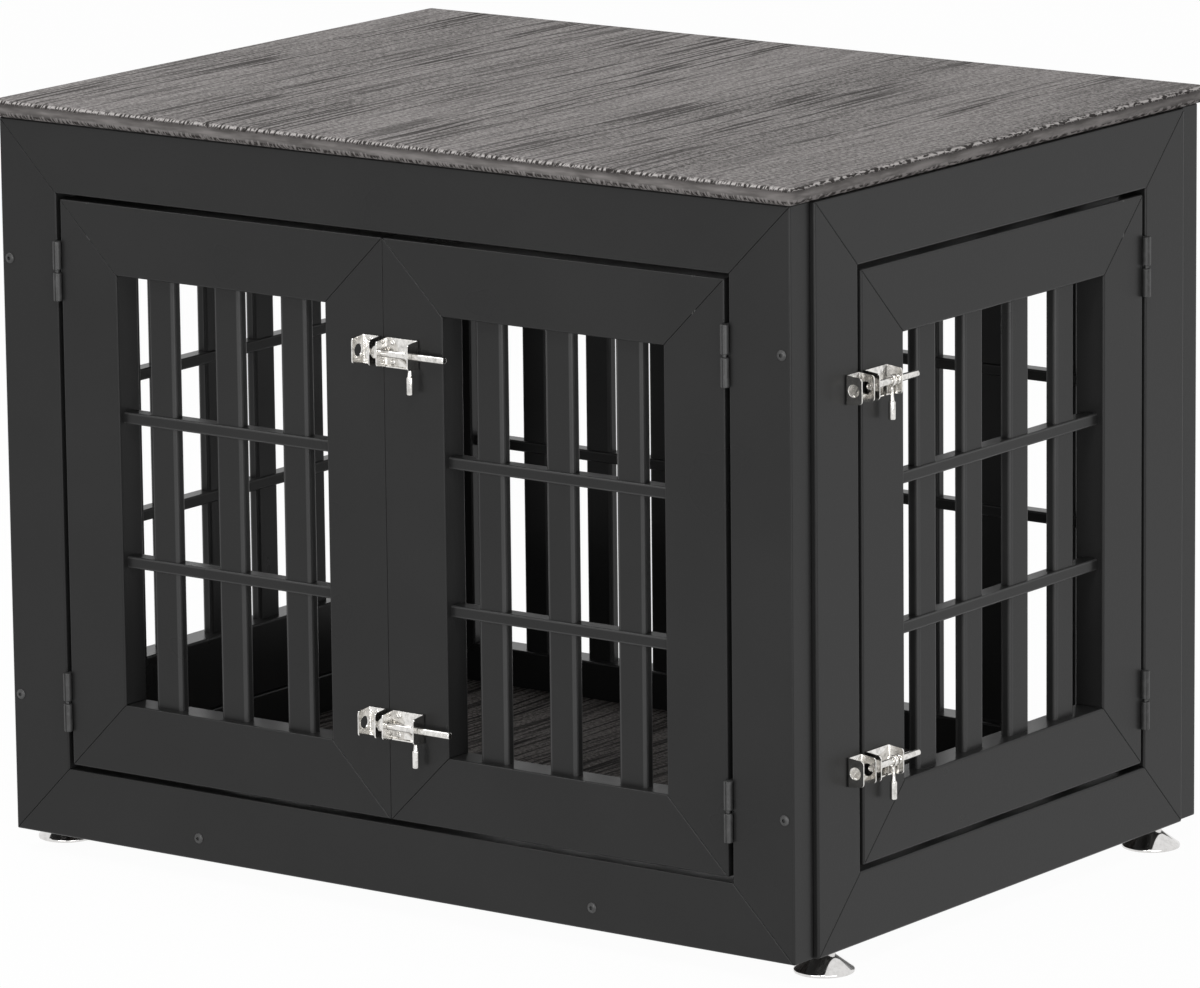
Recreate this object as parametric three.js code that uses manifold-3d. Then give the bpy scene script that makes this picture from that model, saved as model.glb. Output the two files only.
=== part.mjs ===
// Dog crate end table: a four-sided cabinet of mitred, grilled panels under a wood-grain top board.
// Double doors in the front and one door in the right side turn on butt hinges and lock with
// barrel bolts. Four levelling feet carry the side panels.
//
// Millimetres, +Z up, front towards -Y. The model stands on z = 0, centred on its overall box.
import * as THREE from "three";
import { mergeVertices } from "three/addons/utils/BufferGeometryUtils.js";
import Module from "manifold-3d";

const wasm = await Module();
wasm.setup();

// ---------------------------------------------------------------- driving dimensions
const CABINET = { width: 812, depth: 600, height: 617 };
const SIDE_PROUD = 4.5; // the side panels stand this far proud of the front panel's ends
const PANEL = { thickness: 28, member: 60, edge: 2.4 }; // member: width of a stile or rail
const DOOR_GAP = 4.2; // between a door and the frame round it
const SEAM = 1.5; // between the two front doors
const FIT = 0.3; // between pieces that touch
const PAST = 1; // how far a cutting tool runs past a face
const TOP = { overhang: 7, thickness: 15.5, bullnose: 7.6, corner: 3 };
const FLOOR = { thickness: 15, rise: 11.5 }; // rise: its underside over the panels' bottom edge
const FOOT = {
  height: 17.5,
  radius: 25,
  rim: 2.2, // height of the upright rim
  rimEase: 1, // rounding under the rim
  cone: [
    [23, 3.6], // radius and height, from the rim's top edge up to the neck
    [12.5, 11.4],
  ],
  neck: 9, // radius
  neckEase: 1,
  inset: 55.5,
};
const STEM = { radius: 4, length: 16, hole: 4.6, holeDepth: 19 };

const SLAT = { width: 28, depth: 11, edge: 2.7 };
const RAIL = { height: 10, depth: 15, edge: 1.4, spacing: 124, middle: 309 };
const FRONT_SLATS = { count: 3, pitch: 70.3 };
const SIDE_SLATS = { count: 4, pitch: 68 };
const BACK_SLATS = { count: 9, pitch: 70.3 };

const HINGE = {
  height: 51,
  barrel: 3.7, // radius
  proud: 2.2, // from the panel's face to the barrel's axis
  gap: 2.6, // between the two knuckles
  pin: 1.72,
  bore: 1.85,
  ease: 0.5, // rounding of a knuckle's outer end
  pinEnd: 7, // from the pin's end to the upper knuckle's end
  pinClear: 1, // from the pin's end to the bottom of its bore
  leaf: 1.2,
  leafDepth: 24,
  tongue: 2.25, // from the axis to where the leaf runs into its knuckle
};
const HINGE_HEIGHTS = { upper: 491.4, lower: 119.3 }; // over the panels' bottom edge

const LATCH = {
  plate: 1.2, // sheet thickness
  height: 24.5,
  reach: 16, // from the panel's face to the front of the walls
  tip: 21.6, // height of a wall where its front corners start
  corner: 3, // rounding of a wall's front corners
  bodyStart: 4, // along the bolt, from the middle of the gap
  bodyEnd: 37,
  keeperStart: -21,
  keeperEnd: -2.5,
  axis: 8, // from the panel's face to the bolt's axis
  bolt: 3, // radius
  boltEase: 1, // chamfer of the bolt's ends
  bodyHole: 3.16,
  keeperHole: 5.2,
  boltLength: 68.5,
  screwInset: 7, // of the body's screws, from its end wall by the gap
  screwHole: 1.6, // radius
  screwRise: 8.2, // above and below the bolt
  lip: 4.4, // from the panel's face to the edge of the body's bottom lip
  travel: 24.5, // from drawn back to shot
  shotTip: -24, // where the bolt's tip is when it is shot
  shotHandle: 8.6,
};
const HANDLE = {
  bore: 3.14, // of the collar that holds the bolt
  collar: 4.6, // outer radius
  collarHalf: 2.2, // half its length
  neck: 1.5, // radius
  neckStart: 3.74, // below the bolt's axis, inside the collar
  grip: 3, // radius
  gripTop: 16.5, // below the bolt's axis
  taper: 4, // the neck widens into the grip over this height
  taperEnd: 2.1, // radius at the foot of the taper
  shoulder: 1.4, // height of the slope from there to the grip's full radius
  ease: 0.7, // rounding of the grip's end
  length: 32,
};
const LATCH_HEIGHTS = { upper: 459, lower: 146 }; // over the panels' bottom edge

// ---------------------------------------------------------------- worked out from them
const OPENING = {
  width: CABINET.width - 2 * PANEL.member,
  height: CABINET.height - 2 * PANEL.member,
};
const SIDE_LENGTH = CABINET.depth - 2 * PANEL.thickness;
const SIDE_OPENING = SIDE_LENGTH - 2 * PANEL.member;
const FRONT_DOOR = (OPENING.width - 2 * DOOR_GAP - SEAM) / 2;
const SIDE_DOOR = SIDE_OPENING - 2 * DOOR_GAP;
const DOOR_HEIGHT = OPENING.height - 2 * DOOR_GAP;
const SIDE_FACE = CABINET.width / 2 + SIDE_PROUD;
const HALF_GAP = DOOR_GAP / 2;
// The overall box reaches to the feet at the left, to the top board's edge at the back, and to the
// latches' walls at the right and the front.
const BOX_CENTRE_X = (LATCH.reach + PANEL.thickness / 2 - FOOT.radius) / 2;
const BOX_CENTRE_Y = (CABINET.depth + TOP.overhang - LATCH.reach) / 2;

// ---------------------------------------------------------------- materials
const finish = (color, roughness, metalness) =>
  new THREE.MeshStandardMaterial({ color, roughness, metalness });
const CHARCOAL = finish(0x343536, 0.5, 0);
const GREY_WOOD = finish(0x6a6461, 0.7, 0);
const DARK_WOOD = finish(0x3a3735, 0.7, 0);
const BLACK_METAL = finish(0x1d1d1e, 0.45, 0.6);
const NICKEL = finish(0xd6d4d0, 0.28, 1);
const CHROME = finish(0xe6e6e6, 0.12, 1);

// ---------------------------------------------------------------- solids
// A closed three.js geometry as a solid that can be joined and cut.
function solid(geometry) {
  const bare = geometry.index ? geometry.toNonIndexed() : geometry.clone();
  bare.deleteAttribute("normal");
  bare.deleteAttribute("uv");
  const merged = mergeVertices(bare, 1e-4);
  return new wasm.Manifold(
    new wasm.Mesh({
      numProp: 3,
      vertProperties: new Float32Array(merged.attributes.position.array),
      triVerts: new Uint32Array(merged.index.array),
    }),
  );
}

function geometryOf(body) {
  const mesh = body.getMesh();
  return new THREE.BufferGeometry()
    .setAttribute("position", new THREE.BufferAttribute(mesh.vertProperties, 3))
    .setIndex(new THREE.BufferAttribute(mesh.triVerts, 1));
}

const union = (bodies) => bodies.reduce((all, body) => all.add(body));

// A box between two corners.
function block([x0, y0, z0], [x1, y1, z1]) {
  const box = new THREE.BoxGeometry(x1 - x0, y1 - y0, z1 - z0);
  return solid(box.translate((x0 + x1) / 2, (y0 + y1) / 2, (z0 + z1) / 2));
}

// A profile of [radius, height] points turned about the Z axis.
function turned(profile, segments) {
  const points = profile.map(([radius, height]) => new THREE.Vector2(radius, height));
  return new THREE.LatheGeometry(points, segments).rotateX(Math.PI / 2);
}

function roundedRectangle(width, height, radius) {
  const [x, y] = [width / 2, height / 2];
  const shape = new THREE.Shape();
  const quarter = Math.PI / 2;
  shape.absarc(x - radius, -y + radius, radius, -quarter, 0);
  shape.absarc(x - radius, y - radius, radius, 0, quarter);
  shape.absarc(-x + radius, y - radius, radius, quarter, 2 * quarter);
  shape.absarc(-x + radius, -y + radius, radius, 2 * quarter, 3 * quarter);
  shape.closePath();
  return shape;
}

// A bar with rounded long edges between two corners of a box, running along X or Z.
function bar(along, [x0, y0, z0], [x1, y1, z1], edge, curveSegments) {
  const upright = along === "z";
  const length = upright ? z1 - z0 : x1 - x0;
  const across = upright ? x1 - x0 : z1 - z0;
  const shape = roundedRectangle(across, y1 - y0, edge);
  const extruded = new THREE.ExtrudeGeometry(shape, {
    depth: length,
    bevelEnabled: false,
    curveSegments,
  }).translate(0, 0, -length / 2);
  // A rail's section turns from the XY plane to the ZY plane.
  if (!upright) extruded.rotateY(Math.PI / 2);
  return solid(extruded.translate((x0 + x1) / 2, (y0 + y1) / 2, (z0 + z1) / 2));
}

// ---------------------------------------------------------------- mitred frames
// The four members of a frame whose lower left front corner is the origin, mitred at 45 degrees.
// trim is taken off each member's mitres.
function frameMembers(width, height, member, trim) {
  const t = PANEL.thickness;
  const cut = trim * Math.SQRT2;
  const sides = {
    bottom_rail: {
      bar: bar("x", [0, 0, 0], [width, t, member], PANEL.edge, 2),
      outline: [[cut, 0], [width - cut, 0], [width - member - cut, member], [member + cut, member]],
    },
    top_rail: {
      bar: bar("x", [0, 0, height - member], [width, t, height], PANEL.edge, 2),
      outline: [
        [member + cut, height - member],
        [width - member - cut, height - member],
        [width - cut, height],
        [cut, height],
      ],
    },
    left_stile: {
      bar: bar("z", [0, 0, 0], [member, t, height], PANEL.edge, 2),
      outline: [[0, cut], [member, member + cut], [member, height - member - cut], [0, height - cut]],
    },
    right_stile: {
      bar: bar("z", [width - member, 0, 0], [width, t, height], PANEL.edge, 2),
      outline: [
        [width, cut],
        [width, height - cut],
        [width - member, height - member - cut],
        [width - member, member + cut],
      ],
    },
  };
  return Object.fromEntries(
    Object.entries(sides).map(([name, side]) => {
      const shape = new THREE.Shape(side.outline.map(([x, z]) => new THREE.Vector2(x, z)));
      // The outline lies in the panel's plane and runs through its thickness.
      const prism = new THREE.ExtrudeGeometry(shape, { depth: t + 2 * PAST, bevelEnabled: false })
        .rotateX(Math.PI / 2)
        .translate(0, t + PAST, 0);
      return [name, side.bar.intersect(solid(prism))];
    }),
  );
}

// The same frame in one piece, for a panel that is glued up.
function frameRing(width, height, member) {
  const { thickness, edge } = PANEL;
  const rectangle = (inset) => [
    new THREE.Vector2(inset, inset),
    new THREE.Vector2(width - inset, inset),
    new THREE.Vector2(width - inset, height - inset),
    new THREE.Vector2(inset, height - inset),
  ];
  // The bevel carries the outline out, and the opening in, to their full sizes.
  const shape = new THREE.Shape(rectangle(edge));
  shape.holes.push(new THREE.Path(rectangle(member - edge).reverse()));
  const ring = new THREE.ExtrudeGeometry(shape, {
    depth: thickness - 2 * edge,
    bevelThickness: edge,
    bevelSize: edge,
    bevelSegments: 2,
  });
  return solid(ring.rotateX(Math.PI / 2).translate(0, thickness - edge, 0));
}

// Upright slats through two rails, in the middle of a panel's thickness. span and rise are the
// opening's left, right, bottom and top. reach is how far the ends go past it: below 0 is a gap.
function grille([left, right], [bottom, top], slats, railHeights, reach) {
  const middle = (left + right) / 2;
  const depths = (depth) => [(PANEL.thickness - depth) / 2, (PANEL.thickness + depth) / 2];
  const [slatFront, slatBack] = depths(SLAT.depth);
  const [railFront, railBack] = depths(RAIL.depth);
  const pieces = [];
  for (let i = 0; i < slats.count; i++) {
    const x = middle + (i - (slats.count - 1) / 2) * slats.pitch;
    const low = [x - SLAT.width / 2, slatFront, bottom - reach];
    const high = [x + SLAT.width / 2, slatBack, top + reach];
    pieces.push(bar("z", low, high, SLAT.edge, 1));
  }
  for (const z of railHeights) {
    const low = [left - reach, railFront, z - RAIL.height / 2];
    const high = [right + reach, railBack, z + RAIL.height / 2];
    pieces.push(bar("x", low, high, RAIL.edge, 1));
  }
  return union(pieces);
}

// The two rails' heights over the bottom edge of the cabinet's panels.
const RAIL_HEIGHTS = [-1, 1].map((way) => RAIL.middle + (way * RAIL.spacing) / 2);

// ---------------------------------------------------------------- the model's tree
const table = new THREE.Group();
const cabinet = new THREE.Group();
cabinet.position.set(-BOX_CENTRE_X, -BOX_CENTRE_Y, 0);
table.add(cabinet);

function addNode(group, name, geometry, material) {
  const mesh = new THREE.Mesh(geometry, material);
  mesh.name = name;
  group.add(mesh);
}

// One group for each wall. In it x runs to the right as the wall is seen from outside, y runs
// inwards from its outer face, and z rises from its bottom edge.
function wall(x, y, turn) {
  const group = new THREE.Group();
  group.position.set(x, y, FOOT.height);
  group.rotation.z = turn;
  cabinet.add(group);
  return group;
}
const front = wall(-CABINET.width / 2, 0, 0);
const rightSide = wall(SIDE_FACE, PANEL.thickness, Math.PI / 2);
const leftSide = wall(-SIDE_FACE, CABINET.depth - PANEL.thickness, -Math.PI / 2);
const back = wall(CABINET.width / 2, CABINET.depth, Math.PI);

// ---------------------------------------------------------------- frames and fixed panels
const MITRE_GAP = FIT / 2;

// Blind holes in a side panel's bottom edge for the two feet's stems.
function drilled(body, length) {
  const insets = [FOOT.inset - PANEL.thickness, length - FOOT.inset + PANEL.thickness];
  for (const x of insets) {
    const drill = new THREE.CylinderGeometry(STEM.hole, STEM.hole, STEM.holeDepth + PAST, 12)
      .rotateX(Math.PI / 2)
      .translate(x, PANEL.thickness / 2, (STEM.holeDepth - PAST) / 2);
    body = body.subtract(solid(drill));
  }
  return body;
}

function frontFrame() {
  const members = frameMembers(CABINET.width, CABINET.height, PANEL.member, MITRE_GAP);
  for (const [side, body] of Object.entries(members))
    addNode(front, `front_frame_${side}`, geometryOf(body), CHARCOAL);
}

function rightFrame() {
  const members = frameMembers(SIDE_LENGTH, CABINET.height, PANEL.member, MITRE_GAP);
  const names = {
    left_stile: "front_stile",
    right_stile: "back_stile",
    top_rail: "top_rail",
    bottom_rail: "bottom_rail",
  };
  members.bottom_rail = drilled(members.bottom_rail, SIDE_LENGTH);
  for (const [side, body] of Object.entries(members))
    addNode(rightSide, `right_frame_${names[side]}`, geometryOf(body), CHARCOAL);
}

// The left side repeats the right one's outlines, but its inner panel is fixed in the frame.
function leftPanel() {
  const ring = frameRing(SIDE_LENGTH, CABINET.height, PANEL.member);
  const outer = drilled(ring, SIDE_LENGTH);
  addNode(leftSide, "left_frame", geometryOf(outer), CHARCOAL);

  const edge = PANEL.member + FIT;
  const width = SIDE_LENGTH - 2 * edge;
  const height = CABINET.height - 2 * edge;
  const member = PANEL.member + DOOR_GAP - FIT;
  const inner = frameRing(width, height, member).translate([edge, 0, edge]);
  const inset = edge + member;
  const span = [inset, SIDE_LENGTH - inset];
  const rise = [inset, CABINET.height - inset];
  const bars = grille(span, rise, SIDE_SLATS, RAIL_HEIGHTS, 1);
  addNode(leftSide, "left_fixed_panel", geometryOf(inner.add(bars)), CHARCOAL);
}

function backPanel() {
  const ring = frameRing(CABINET.width, CABINET.height, PANEL.member);
  const span = [PANEL.member, CABINET.width - PANEL.member];
  const rise = [PANEL.member, CABINET.height - PANEL.member];
  const bars = grille(span, rise, BACK_SLATS, RAIL_HEIGHTS, 1);
  addNode(back, "back_panel", geometryOf(ring.add(bars)), CHARCOAL);
}

function topBoard() {
  const { overhang, thickness, bullnose, corner } = TOP;
  const width = CABINET.width + 2 * (overhang - bullnose);
  const depth = CABINET.depth + 2 * (overhang - bullnose);
  const board = new THREE.ExtrudeGeometry(roundedRectangle(width, depth, corner), {
    depth: thickness - 2 * bullnose,
    bevelThickness: bullnose,
    bevelSize: bullnose,
    bevelSegments: 4,
    curveSegments: 3,
  });
  board.translate(0, CABINET.depth / 2, FOOT.height + CABINET.height + FIT + bullnose);
  addNode(cabinet, "top_board", geometryOf(solid(board)), GREY_WOOD);
}

function floorBoard() {
  const width = 2 * (SIDE_FACE - PANEL.thickness - FIT);
  const depth = SIDE_LENGTH - 2 * FIT;
  const board = new THREE.BoxGeometry(width, depth, FLOOR.thickness);
  const z = FOOT.height + FLOOR.rise + FLOOR.thickness / 2;
  addNode(cabinet, "floor_board", board.translate(0, CABINET.depth / 2, z), DARK_WOOD);
}

// ---------------------------------------------------------------- doors
// hingeSide is "left" or "right" as the wall is seen from outside.
function door(group, name, left, width, slats, hingeSide) {
  const bottom = PANEL.member + DOOR_GAP;
  const members = frameMembers(width, DOOR_HEIGHT, PANEL.member, MITRE_GAP);
  const stiles = {
    left_stile: hingeSide === "left" ? "hinge_stile" : "free_stile",
    right_stile: hingeSide === "left" ? "free_stile" : "hinge_stile",
  };
  for (const [side, body] of Object.entries(members)) {
    const node = `${name}_${stiles[side] ?? side}`;
    addNode(group, node, geometryOf(body.translate([left, 0, bottom])), CHARCOAL);
  }
  const span = [left + PANEL.member, left + width - PANEL.member];
  const rise = [bottom + PANEL.member, bottom + DOOR_HEIGHT - PANEL.member];
  const bars = grille(span, rise, slats, RAIL_HEIGHTS, -FIT);
  addNode(group, `${name}_grille`, geometryOf(bars), CHARCOAL);
}

// ---------------------------------------------------------------- hinges
// One leaf of a butt hinge whose barrel's axis is the Z axis. The leaf lies in the gap behind the
// barrel, against the edge on its own side (1 is right, -1 is left). The lower knuckle holds the
// pin and the upper one turns on it.
function hingeLeaf(side, holdsPin) {
  const { height, barrel, proud, gap, ease, pin, pinEnd, pinClear, bore, leaf, leafDepth } = HINGE;
  const end = height / 2;
  const split = gap / 2;
  const pinTop = end - pinEnd;
  const boreTop = pinTop + pinClear;
  const knuckle = holdsPin
    ? [
        [0, -end],
        [barrel - ease, -end],
        [barrel, ease - end],
        [barrel, -split],
        [pin, -split],
        [pin, pinTop],
        [0, pinTop],
      ]
    : [
        [0, boreTop],
        [bore, boreTop],
        [bore, split],
        [barrel, split],
        [barrel, end - ease],
        [barrel - ease, end],
        [0, end],
      ];
  const outer = side * (HALF_GAP - FIT);
  const inner = outer - side * leaf;
  const [x0, x1] = [Math.min(outer, inner), Math.max(outer, inner)];
  const clear = barrel + FIT; // behind the other leaf's knuckle
  const [low, high] = holdsPin ? [-end + ease, -split] : [split, end - ease];
  return union([
    solid(turned(knuckle, 14)),
    block([x0, HINGE.tongue, low], [x1, clear, high]),
    block([x0, clear, -end], [x1, proud + leafDepth, end]),
  ]);
}

// frameSide is 1 where the frame is to the right of the hinge.
function hinge(group, name, x, z, frameSide) {
  const place = [x, -HINGE.proud, z];
  const frameLeaf = hingeLeaf(frameSide, true).translate(place);
  const doorLeaf = hingeLeaf(-frameSide, false).translate(place);
  addNode(group, `${name}_hinge_frame_leaf`, geometryOf(frameLeaf), BLACK_METAL);
  addNode(group, `${name}_hinge_door_leaf`, geometryOf(doorLeaf), BLACK_METAL);
}

function hingePair(group, doorName, x, frameSide) {
  for (const [level, z] of Object.entries(HINGE_HEIGHTS))
    hinge(group, `${doorName}_${level}`, x, z, frameSide);
}

// ---------------------------------------------------------------- latches
// An upright wall of a latch, standing out from the panel at x, with a round hole for the bolt.
function latchWall(x, hole) {
  const { plate, height, tip, reach, corner, axis } = LATCH;
  const [foot, front] = [height / 2, tip / 2];
  const outline = new THREE.Path();
  outline.moveTo(FIT, -foot);
  outline.lineTo(reach - corner, -front);
  outline.quadraticCurveTo(reach, -front, reach, corner - front);
  outline.lineTo(reach, front - corner);
  outline.quadraticCurveTo(reach, front, reach - corner, front);
  outline.lineTo(FIT, foot);
  const shape = new THREE.Shape(outline.getPoints(3));
  shape.holes.push(new THREE.Path().absarc(axis, 0, hole, 0, 2 * Math.PI, true));
  const sheet = new THREE.ExtrudeGeometry(shape, {
    depth: plate,
    bevelEnabled: false,
    curveSegments: 7,
  });
  // The shape's x axis points out of the panel and its y axis points up.
  const turn = new THREE.Matrix4().makeBasis(
    new THREE.Vector3(0, -1, 0),
    new THREE.Vector3(0, 0, 1),
    new THREE.Vector3(-1, 0, 0),
  );
  return solid(sheet.applyMatrix4(turn).translate(x + plate, 0, 0));
}

// A folded bracket: a base plate on the panel with a wall at each end, and two screw holes at x.
function bracket(start, end, hole, x) {
  const { plate, height, screwHole, screwRise } = LATCH;
  const base = block([start, -FIT - plate, -height / 2], [end, -FIT, height / 2]);
  const walls = [start, end - plate].map((place) => latchWall(place, hole));
  const screwHoles = [-screwRise, screwRise].map((z) => {
    const drill = new THREE.CylinderGeometry(screwHole, screwHole, 3 * plate, 10);
    return solid(drill.translate(x, -FIT - plate / 2, z));
  });
  return union([base, ...walls]).subtract(union(screwHoles));
}

// The lip folded out along the bottom of the latch's body, under the bolt's handle.
function bottomLip() {
  const { plate, height, bodyStart, bodyEnd, lip } = LATCH;
  return block([bodyStart, -lip, -height / 2], [bodyEnd, -FIT, plate - height / 2]);
}

// A round bolt along X, with chamfered ends, from its tip.
function bolt(tip) {
  const { bolt: radius, boltEase, boltLength, axis } = LATCH;
  const profile = [
    [0, 0],
    [radius - boltEase, 0],
    [radius, boltEase],
    [radius, boltLength - boltEase],
    [radius - boltEase, boltLength],
    [0, boltLength],
  ];
  return turned(profile, 16).rotateY(Math.PI / 2).translate(tip, -axis, 0);
}

// A collar round the bolt, with a thin neck and a turned grip hanging from it.
function boltHandle(x) {
  const { bore, collar, collarHalf, neck, neckStart, grip, gripTop, length } = HANDLE;
  const { taper, taperEnd, shoulder, ease } = HANDLE;
  const ring = [
    [bore, -collarHalf],
    [collar, -collarHalf],
    [collar, collarHalf],
    [bore, collarHalf],
    [bore, -collarHalf],
  ];
  const hanging = [
    [0, -length],
    [grip - ease, -length],
    [grip, ease - length],
    [grip, -gripTop - shoulder],
    [taperEnd, -gripTop],
    [neck, taper - gripTop],
    [neck, -neckStart],
    [0, -neckStart],
  ];
  const body = union([solid(turned(ring, 16).rotateY(Math.PI / 2)), solid(turned(hanging, 12))]);
  return geometryOf(body.translate([x, -LATCH.axis, 0]));
}

// A barrel bolt across a gap whose middle is at x: keeper to the left, body to the right.
// It stands drawn back, clear of the keeper.
function latch(group, name, x, z) {
  const { bodyStart, bodyEnd, keeperStart, keeperEnd, bodyHole, keeperHole, screwInset } = LATCH;
  const assembly = new THREE.Group();
  assembly.position.set(x, 0, z);
  group.add(assembly);
  const body = bracket(bodyStart, bodyEnd, bodyHole, bodyStart + screwInset).add(bottomLip());
  const keeper = bracket(keeperStart, keeperEnd, keeperHole, (keeperStart + keeperEnd) / 2);
  addNode(assembly, `${name}_latch_body`, geometryOf(body), NICKEL);
  addNode(assembly, `${name}_latch_keeper`, geometryOf(keeper), NICKEL);
  addNode(assembly, `${name}_latch_bolt`, bolt(LATCH.shotTip + LATCH.travel), NICKEL);
  addNode(assembly, `${name}_latch_handle`, boltHandle(LATCH.shotHandle + LATCH.travel), NICKEL);
}

function latchPair(group, wallName, x) {
  for (const [level, z] of Object.entries(LATCH_HEIGHTS)) latch(group, `${wallName}_${level}`, x, z);
}

// ---------------------------------------------------------------- feet
// A shallow spun cone on a threaded stem, screwed home into a side panel's bottom edge.
function foot(name, x, y) {
  const { height, radius, rim, rimEase, cone, neck, neckEase } = FOOT;
  const top = height - FIT;
  const stemEnd = height + STEM.length;
  const profile = [
    [0, 0],
    [radius - rimEase, 0],
    [radius, rimEase],
    [radius, rim],
    ...cone,
    [neck, top - neckEase],
    [neck - neckEase, top],
    [STEM.radius, top],
    [STEM.radius, stemEnd],
    [0, stemEnd],
  ];
  addNode(cabinet, name, turned(profile, 24).translate(x, y, 0), CHROME);
}

function feet() {
  const x = SIDE_FACE - PANEL.thickness / 2;
  for (const [side, way] of [["left", -1], ["right", 1]]) {
    foot(`front_${side}_foot`, way * x, FOOT.inset);
    foot(`back_${side}_foot`, way * x, CABINET.depth - FOOT.inset);
  }
}

// ---------------------------------------------------------------- assembly
topBoard();
floorBoard();
frontFrame();
rightFrame();
leftPanel();
backPanel();
feet();

const frontLeft = PANEL.member + DOOR_GAP;
const frontMiddle = CABINET.width / 2;
door(front, "left_door", frontLeft, FRONT_DOOR, FRONT_SLATS, "left");
door(front, "right_door", frontMiddle + SEAM / 2, FRONT_DOOR, FRONT_SLATS, "right");
door(rightSide, "side_door", frontLeft, SIDE_DOOR, SIDE_SLATS, "right");
hingePair(front, "left_door", PANEL.member + HALF_GAP, -1);
hingePair(front, "right_door", CABINET.width - PANEL.member - HALF_GAP, 1);
hingePair(rightSide, "side_door", SIDE_LENGTH - PANEL.member - HALF_GAP, 1);
latchPair(front, "front", frontMiddle);
latchPair(rightSide, "side", PANEL.member + HALF_GAP);

export default table;
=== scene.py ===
"""Dog crate end table: boards, slats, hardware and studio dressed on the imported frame.

Metres, +Z up, front towards -Y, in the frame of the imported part.
"""

import math

import bmesh
import bpy
from mathutils import Matrix, Vector


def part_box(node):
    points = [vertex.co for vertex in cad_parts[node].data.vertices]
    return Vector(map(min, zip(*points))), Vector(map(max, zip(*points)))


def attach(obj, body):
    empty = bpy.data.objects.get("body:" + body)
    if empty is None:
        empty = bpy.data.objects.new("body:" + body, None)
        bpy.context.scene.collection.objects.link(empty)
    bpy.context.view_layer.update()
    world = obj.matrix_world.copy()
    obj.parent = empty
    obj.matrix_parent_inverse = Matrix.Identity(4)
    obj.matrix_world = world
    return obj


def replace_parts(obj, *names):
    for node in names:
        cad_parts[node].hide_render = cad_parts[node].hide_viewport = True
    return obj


MM = 0.001
SAME = 1e-6  # places nearer than this are one place
WHITE = (1, 1, 1, 1)

# Panels
MEMBER = 60 * MM  # width of a stile or rail
LEFT_PANEL_MEMBER = 63.9 * MM
EDGE = 2.0 * MM  # rounding of a member's long edges
MITRE_EDGE = 1.0 * MM  # rounding along a mitre, which makes its fine groove
SEAM_EDGE = 0.6 * MM  # rounding of the front doors' edges where they meet
SEAM_LEAD = 0.6 * MM  # how far those edges come forward to each other; they taper away behind
BOARD_SEGMENTS = 4  # of a rounding on a member, slat or rail
SLAT = {"width": 28 * MM, "depth": 11 * MM, "edge": 3.4 * MM}
RAIL = {"height": 10 * MM, "depth": 15 * MM, "edge": 1.6 * MM}
RAIL_HEIGHTS = (264.5 * MM, 388.5 * MM)
FRONT_PITCH = 70.3 * MM
SIDE_PITCH = 68 * MM
HOUSED = 1.2 * MM  # how far the bars' ends go into the members
TOP_EDGE = {"width": 7.4 * MM, "segments": 8}  # the bullnose
FLOOR_EDGE = {"width": 1 * MM, "segments": 2}

STEPS = {  # round each turned form
    "foot": 72,
    "frame_bolt": 36,
    "hinge_pin": 32,
    "hinge_knuckle": 44,
    "drill": 40,
    "screw": 32,
    "bolt": 48,
    "collar": 48,
    "grip": 36,
}

# Feet, turned: (radius, height) in mm
FOOT_SOLE = [(0, 0), (24.2, 0), (24.8, 0.3), (25, 0.9), (25, 2), (24.7, 2.6), (24, 3.1)]
FOOT_COLLAR = [(10.8, 12.9), (9.6, 14.2), (9, 15.8), (8.8, 16.8), (8, 17.2)]
FOOT_STEM = [(4, 17.2), (4, 33.5), (0, 33.5)]

# Bolts in the front frame: the head is sunk a little, has a low upright rim, and then domes
FRAME_BOLT = {
    "radius": 4.5 * MM,
    "sunk": 0.3 * MM,
    "rim": 0.2 * MM,
    "proud": 1.9 * MM,
    "socket": 1.7 * MM,
    "edge": 0.12 * MM,
}
FRAME_BOLT_DOME = (0, 14, 28, 42, 56, 66)  # degrees up the dome
SOCKET_MOUTH = 0.93  # height of the socket's mouth, as a share of the head's
FRAME_BOLT_PLACES = ((397.5, 514.5), (397.5, 136.5), (205.5, 36.5))  # from the middle, in mm
CABINET_MIDDLE = -2.5 * MM  # X of the front panel's middle

# Hinges
HINGE_BARREL = 3.7 * MM  # radius
HINGE_PIN = 1.72 * MM
HINGE_GAP = 2.6 * MM  # between the two knuckles
HINGE_EASE = 0.5 * MM
HINGE_EDGE = 0.15 * MM
SEAM_TURN = {"front": 5, "side": -43}  # degrees round a knuckle to the rolled sheet's edge
SEAM_WIDTH = 18  # degrees of the knuckle's round
SEAM_WALL = 1  # degrees that each wall of the seam leans in
SEAM_DEPTH = 0.8 * MM
LEAF = 1.2 * MM
LEAF_GAP = 0.6 * MM  # from the middle of the gap to a leaf
LEAF_LAP = 0.3 * MM  # between a leaf's plate and its neck at the knuckle

# Latches. Along a latch, x is measured from the middle of the gap that it bridges.
FIT = 0.3 * MM  # between the panel's face and what is screwed on it
SHEET = 1.2 * MM
SHEET_EDGE = 0.22 * MM
BEND = 1.5 * MM  # outer radius of a fold
BRACKET = {"height": 24.5 * MM, "reach": 16 * MM, "tip": 21.6 * MM, "corner": 3 * MM}
BODY_SPAN = (4 * MM, 37 * MM)
KEEPER_SPAN = (-21 * MM, -2.5 * MM)
BOLT_AXIS = 8 * MM  # from the panel's face
BOLT_RADIUS = 3 * MM
BOLT_EASE = 1 * MM
BODY_HOLE = 3.16 * MM
KEEPER_HOLE = 5.2 * MM
LIP = 4.4 * MM
SCREW = {"inset": 7 * MM, "rise": 8.2 * MM, "radius": 2.5 * MM, "dome": 1.1 * MM, "sunk": 0.1 * MM}
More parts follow.
